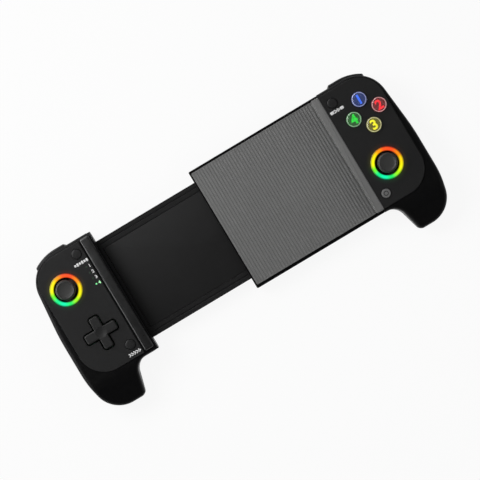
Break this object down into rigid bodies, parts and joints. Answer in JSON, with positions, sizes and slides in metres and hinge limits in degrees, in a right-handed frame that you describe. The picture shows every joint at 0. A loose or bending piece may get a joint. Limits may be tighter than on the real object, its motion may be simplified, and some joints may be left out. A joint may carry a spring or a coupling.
{
  "type": "telescopic phone game controller",
  "caption": "Two-handed game controller that stretches to hold a phone between its grips, with thumb sticks, a directional pad, push buttons and shoulder triggers.",
  "frame": {"origin": "on the surface that the controller lies on, under the middle of its overall length and width as pictured", "axes": "+X along the length from the directional-pad grip to the face-button grip, +Y towards the shoulder buttons, +Z out of the face"},
  "size_m": [0.2478, 0.1032, 0.0328],
  "materials": {
    "case_black": "fine matt texture",
    "panel_black": "soft-touch satin",
    "slide_black": "smooth satin",
    "pad_grey": "ribbed matt silicone",
    "clamp_rubber": "smooth soft rubber",
    "control_black": "satin",
    "stick_rubber": "soft textured rubber",
    "home_grey": "satin",
    "clear_blue": "clear domed cap",
    "clear_red": "clear domed cap",
    "clear_green": "clear domed cap",
    "clear_yellow": "clear domed cap",
    "ring_light": "frosted diffuser, lit",
    "indicator_light": "clear lens",
    "steel": "plated",
    "board": "solder resist",
    "dome_rubber": "silicone",
    "battery_wrap": "foil pouch",
    "inner_plastic": "moulded"
  },
  "bodies": {
    "base": {"bracket_tray": "case_black", "bracket_cover": "case_black", "bracket_screws": "steel", "phone_pad": "pad_grey", "right_stop_bar": "pad_grey", "right_back_shell": "case_black", "right_front_shell": "case_black", "right_face_panel": "panel_black", "right_case_screws": "steel", "right_board": "board", "right_dome_mat": "dome_rubber", "right_rumble_motor": "steel", "right_shoulder_pins": "steel", "right_trigger_spring": "steel", "right_stick_base": "inner_plastic", "right_stick_light_ring": "ring_light", "slide_brakes": "inner_plastic"},
    "slider": {"slide_plate": "slide_black", "slide_cover": "slide_black", "slide_bridge": "inner_plastic", "slide_screws": "steel", "left_back_shell": "case_black", "left_front_shell": "case_black", "left_face_panel": "panel_black", "left_case_screws": "steel", "left_clamp_bar": "clamp_rubber", "left_phone_stop": "clamp_rubber", "left_board": "board", "left_dome_mat": "dome_rubber", "left_rumble_motor": "steel", "left_shoulder_pins": "steel", "left_trigger_spring": "steel", "left_stick_base": "inner_plastic", "left_stick_light_ring": "ring_light", "indicator_lenses": "indicator_light", "direction_frame": "inner_plastic", "charging_port": "steel", "battery": "battery_wrap"},
    "right_bumper": {"right_bumper": "control_black"},
    "right_trigger": {"right_trigger": "control_black"},
    "left_bumper": {"left_bumper": "control_black"},
    "left_trigger": {"left_trigger": "control_black"},
    "right_yoke": {"right_stick_yoke": "inner_plastic"},
    "right_rocker": {"right_stick_rocker": "inner_plastic"},
    "right_stick": {"right_stick_shaft": "inner_plastic", "right_stick_cap": "stick_rubber"},
    "left_yoke": {"left_stick_yoke": "inner_plastic"},
    "left_rocker": {"left_stick_rocker": "inner_plastic"},
    "left_stick": {"left_stick_shaft": "inner_plastic", "left_stick_cap": "stick_rubber"},
    "direction_spider": {"direction_spider": "inner_plastic"},
    "direction_pad": {"direction_pad": "control_black"},
    "button_top": {"button_top": "clear_blue"},
    "button_right": {"button_right": "clear_red"},
    "button_bottom": {"button_bottom": "clear_yellow"},
    "button_left": {"button_left": "clear_green"},
    "button_start": {"button_start": "control_black"},
    "button_home": {"button_home": "home_grey"},
    "button_select": {"button_select": "control_black"},
    "button_turbo": {"button_turbo": "control_black"}
  },
  "joints": [
    {"name": "stretch", "type": "slide", "parent": "base", "child": "slider", "axis": [-1, 0, 0], "range_m": [-0.069, 0.008]},
    {"name": "right_stick_tilt_x", "type": "hinge", "parent": "base", "child": "right_yoke", "pos_m": [0.0993, -0.0066, 0.0175], "axis": [1, 0, 0], "range_deg": [-13, 13], "stiffness_Nm_per_rad": 0.03},
    {"name": "right_stick_tilt_y", "type": "hinge", "parent": "right_yoke", "child": "right_rocker", "pos_m": [0.0993, -0.0066, 0.0175], "axis": [0, 1, 0], "range_deg": [-13, 13], "stiffness_Nm_per_rad": 0.03},
    {"name": "right_stick_click", "type": "slide", "parent": "right_rocker", "child": "right_stick", "axis": [0, 0, 1], "range_m": [-0.0004, 0], "stiffness_N_per_m": 2500, "springref_m": 0.0004},
    {"name": "right_bumper_press", "type": "hinge", "parent": "base", "child": "right_bumper", "pos_m": [0.0951, 0.04895, 0.0184], "axis": [0, 0, 1], "range_deg": [-3, 0], "stiffness_Nm_per_rad": 0.3, "springref_deg": 2.29},
    {"name": "right_trigger_pull", "type": "hinge", "parent": "base", "child": "right_trigger", "pos_m": [0.099, 0.04825, 0.0104], "axis": [1, 0, 0], "range_deg": [-12, 0], "stiffness_Nm_per_rad": 0.1, "springref_deg": 11.46, "deforming": ["right_trigger_spring"]},
    {"name": "left_stick_tilt_x", "type": "hinge", "parent": "slider", "child": "left_yoke", "pos_m": [-0.1052, 0.0269, 0.0175], "axis": [1, 0, 0], "range_deg": [-13, 13], "stiffness_Nm_per_rad": 0.03},
    {"name": "left_stick_tilt_y", "type": "hinge", "parent": "left_yoke", "child": "left_rocker", "pos_m": [-0.1052, 0.0269, 0.0175], "axis": [0, 1, 0], "range_deg": [-13, 13], "stiffness_Nm_per_rad": 0.03},
    {"name": "left_stick_click", "type": "slide", "parent": "left_rocker", "child": "left_stick", "axis": [0, 0, 1], "range_m": [-0.0004, 0], "stiffness_N_per_m": 2500, "springref_m": 0.0004},
    {"name": "left_bumper_press", "type": "hinge", "parent": "slider", "child": "left_bumper", "pos_m": [-0.0951, 0.04895, 0.0184], "axis": [0, 0, 1], "range_deg": [0, 3], "stiffness_Nm_per_rad": 0.3, "springref_deg": -2.29},
    {"name": "left_trigger_pull", "type": "hinge", "parent": "slider", "child": "left_trigger", "pos_m": [-0.099, 0.04825, 0.0104], "axis": [1, 0, 0], "range_deg": [-12, 0], "stiffness_Nm_per_rad": 0.1, "springref_deg": 11.46, "deforming": ["left_trigger_spring"]},
    {"name": "direction_rock_x", "type": "hinge", "parent": "slider", "child": "direction_spider", "pos_m": [-0.10015, -0.00575, 0.022], "axis": [1, 0, 0], "range_deg": [-5, 5], "stiffness_Nm_per_rad": 0.12},
    {"name": "direction_rock_y", "type": "hinge", "parent": "direction_spider", "child": "direction_pad", "pos_m": [-0.10015, -0.00575, 0.022], "axis": [0, 1, 0], "range_deg": [-5, 5], "stiffness_Nm_per_rad": 0.12},
    {"name": "button_top_press", "type": "slide", "parent": "base", "child": "button_top", "axis": [0, 0, 1], "range_m": [-0.001, 0], "stiffness_N_per_m": 800, "springref_m": 0.001},
    {"name": "button_right_press", "type": "slide", "parent": "base", "child": "button_right", "axis": [0, 0, 1], "range_m": [-0.001, 0], "stiffness_N_per_m": 800, "springref_m": 0.001},
    {"name": "button_bottom_press", "type": "slide", "parent": "base", "child": "button_bottom", "axis": [0, 0, 1], "range_m": [-0.001, 0], "stiffness_N_per_m": 800, "springref_m": 0.001},
    {"name": "button_left_press", "type": "slide", "parent": "base", "child": "button_left", "axis": [0, 0, 1], "range_m": [-0.001, 0], "stiffness_N_per_m": 800, "springref_m": 0.001},
    {"name": "button_start_press", "type": "slide", "parent": "base", "child": "button_start", "axis": [0, 0, 1], "range_m": [-0.0006, 0], "stiffness_N_per_m": 1200, "springref_m": 0.0006},
    {"name": "button_home_press", "type": "slide", "parent": "base", "child": "button_home", "axis": [0, 0, 1], "range_m": [-0.0006, 0], "stiffness_N_per_m": 1200, "springref_m": 0.0006},
    {"name": "button_select_press", "type": "slide", "parent": "slider", "child": "button_select", "axis": [0, 0, 1], "range_m": [-0.0006, 0], "stiffness_N_per_m": 1200, "springref_m": 0.0006},
    {"name": "button_turbo_press", "type": "slide", "parent": "slider", "child": "button_turbo", "axis": [0, 0, 1], "range_m": [-0.0006, 0], "stiffness_N_per_m": 1200, "springref_m": 0.0006}
  ]
}
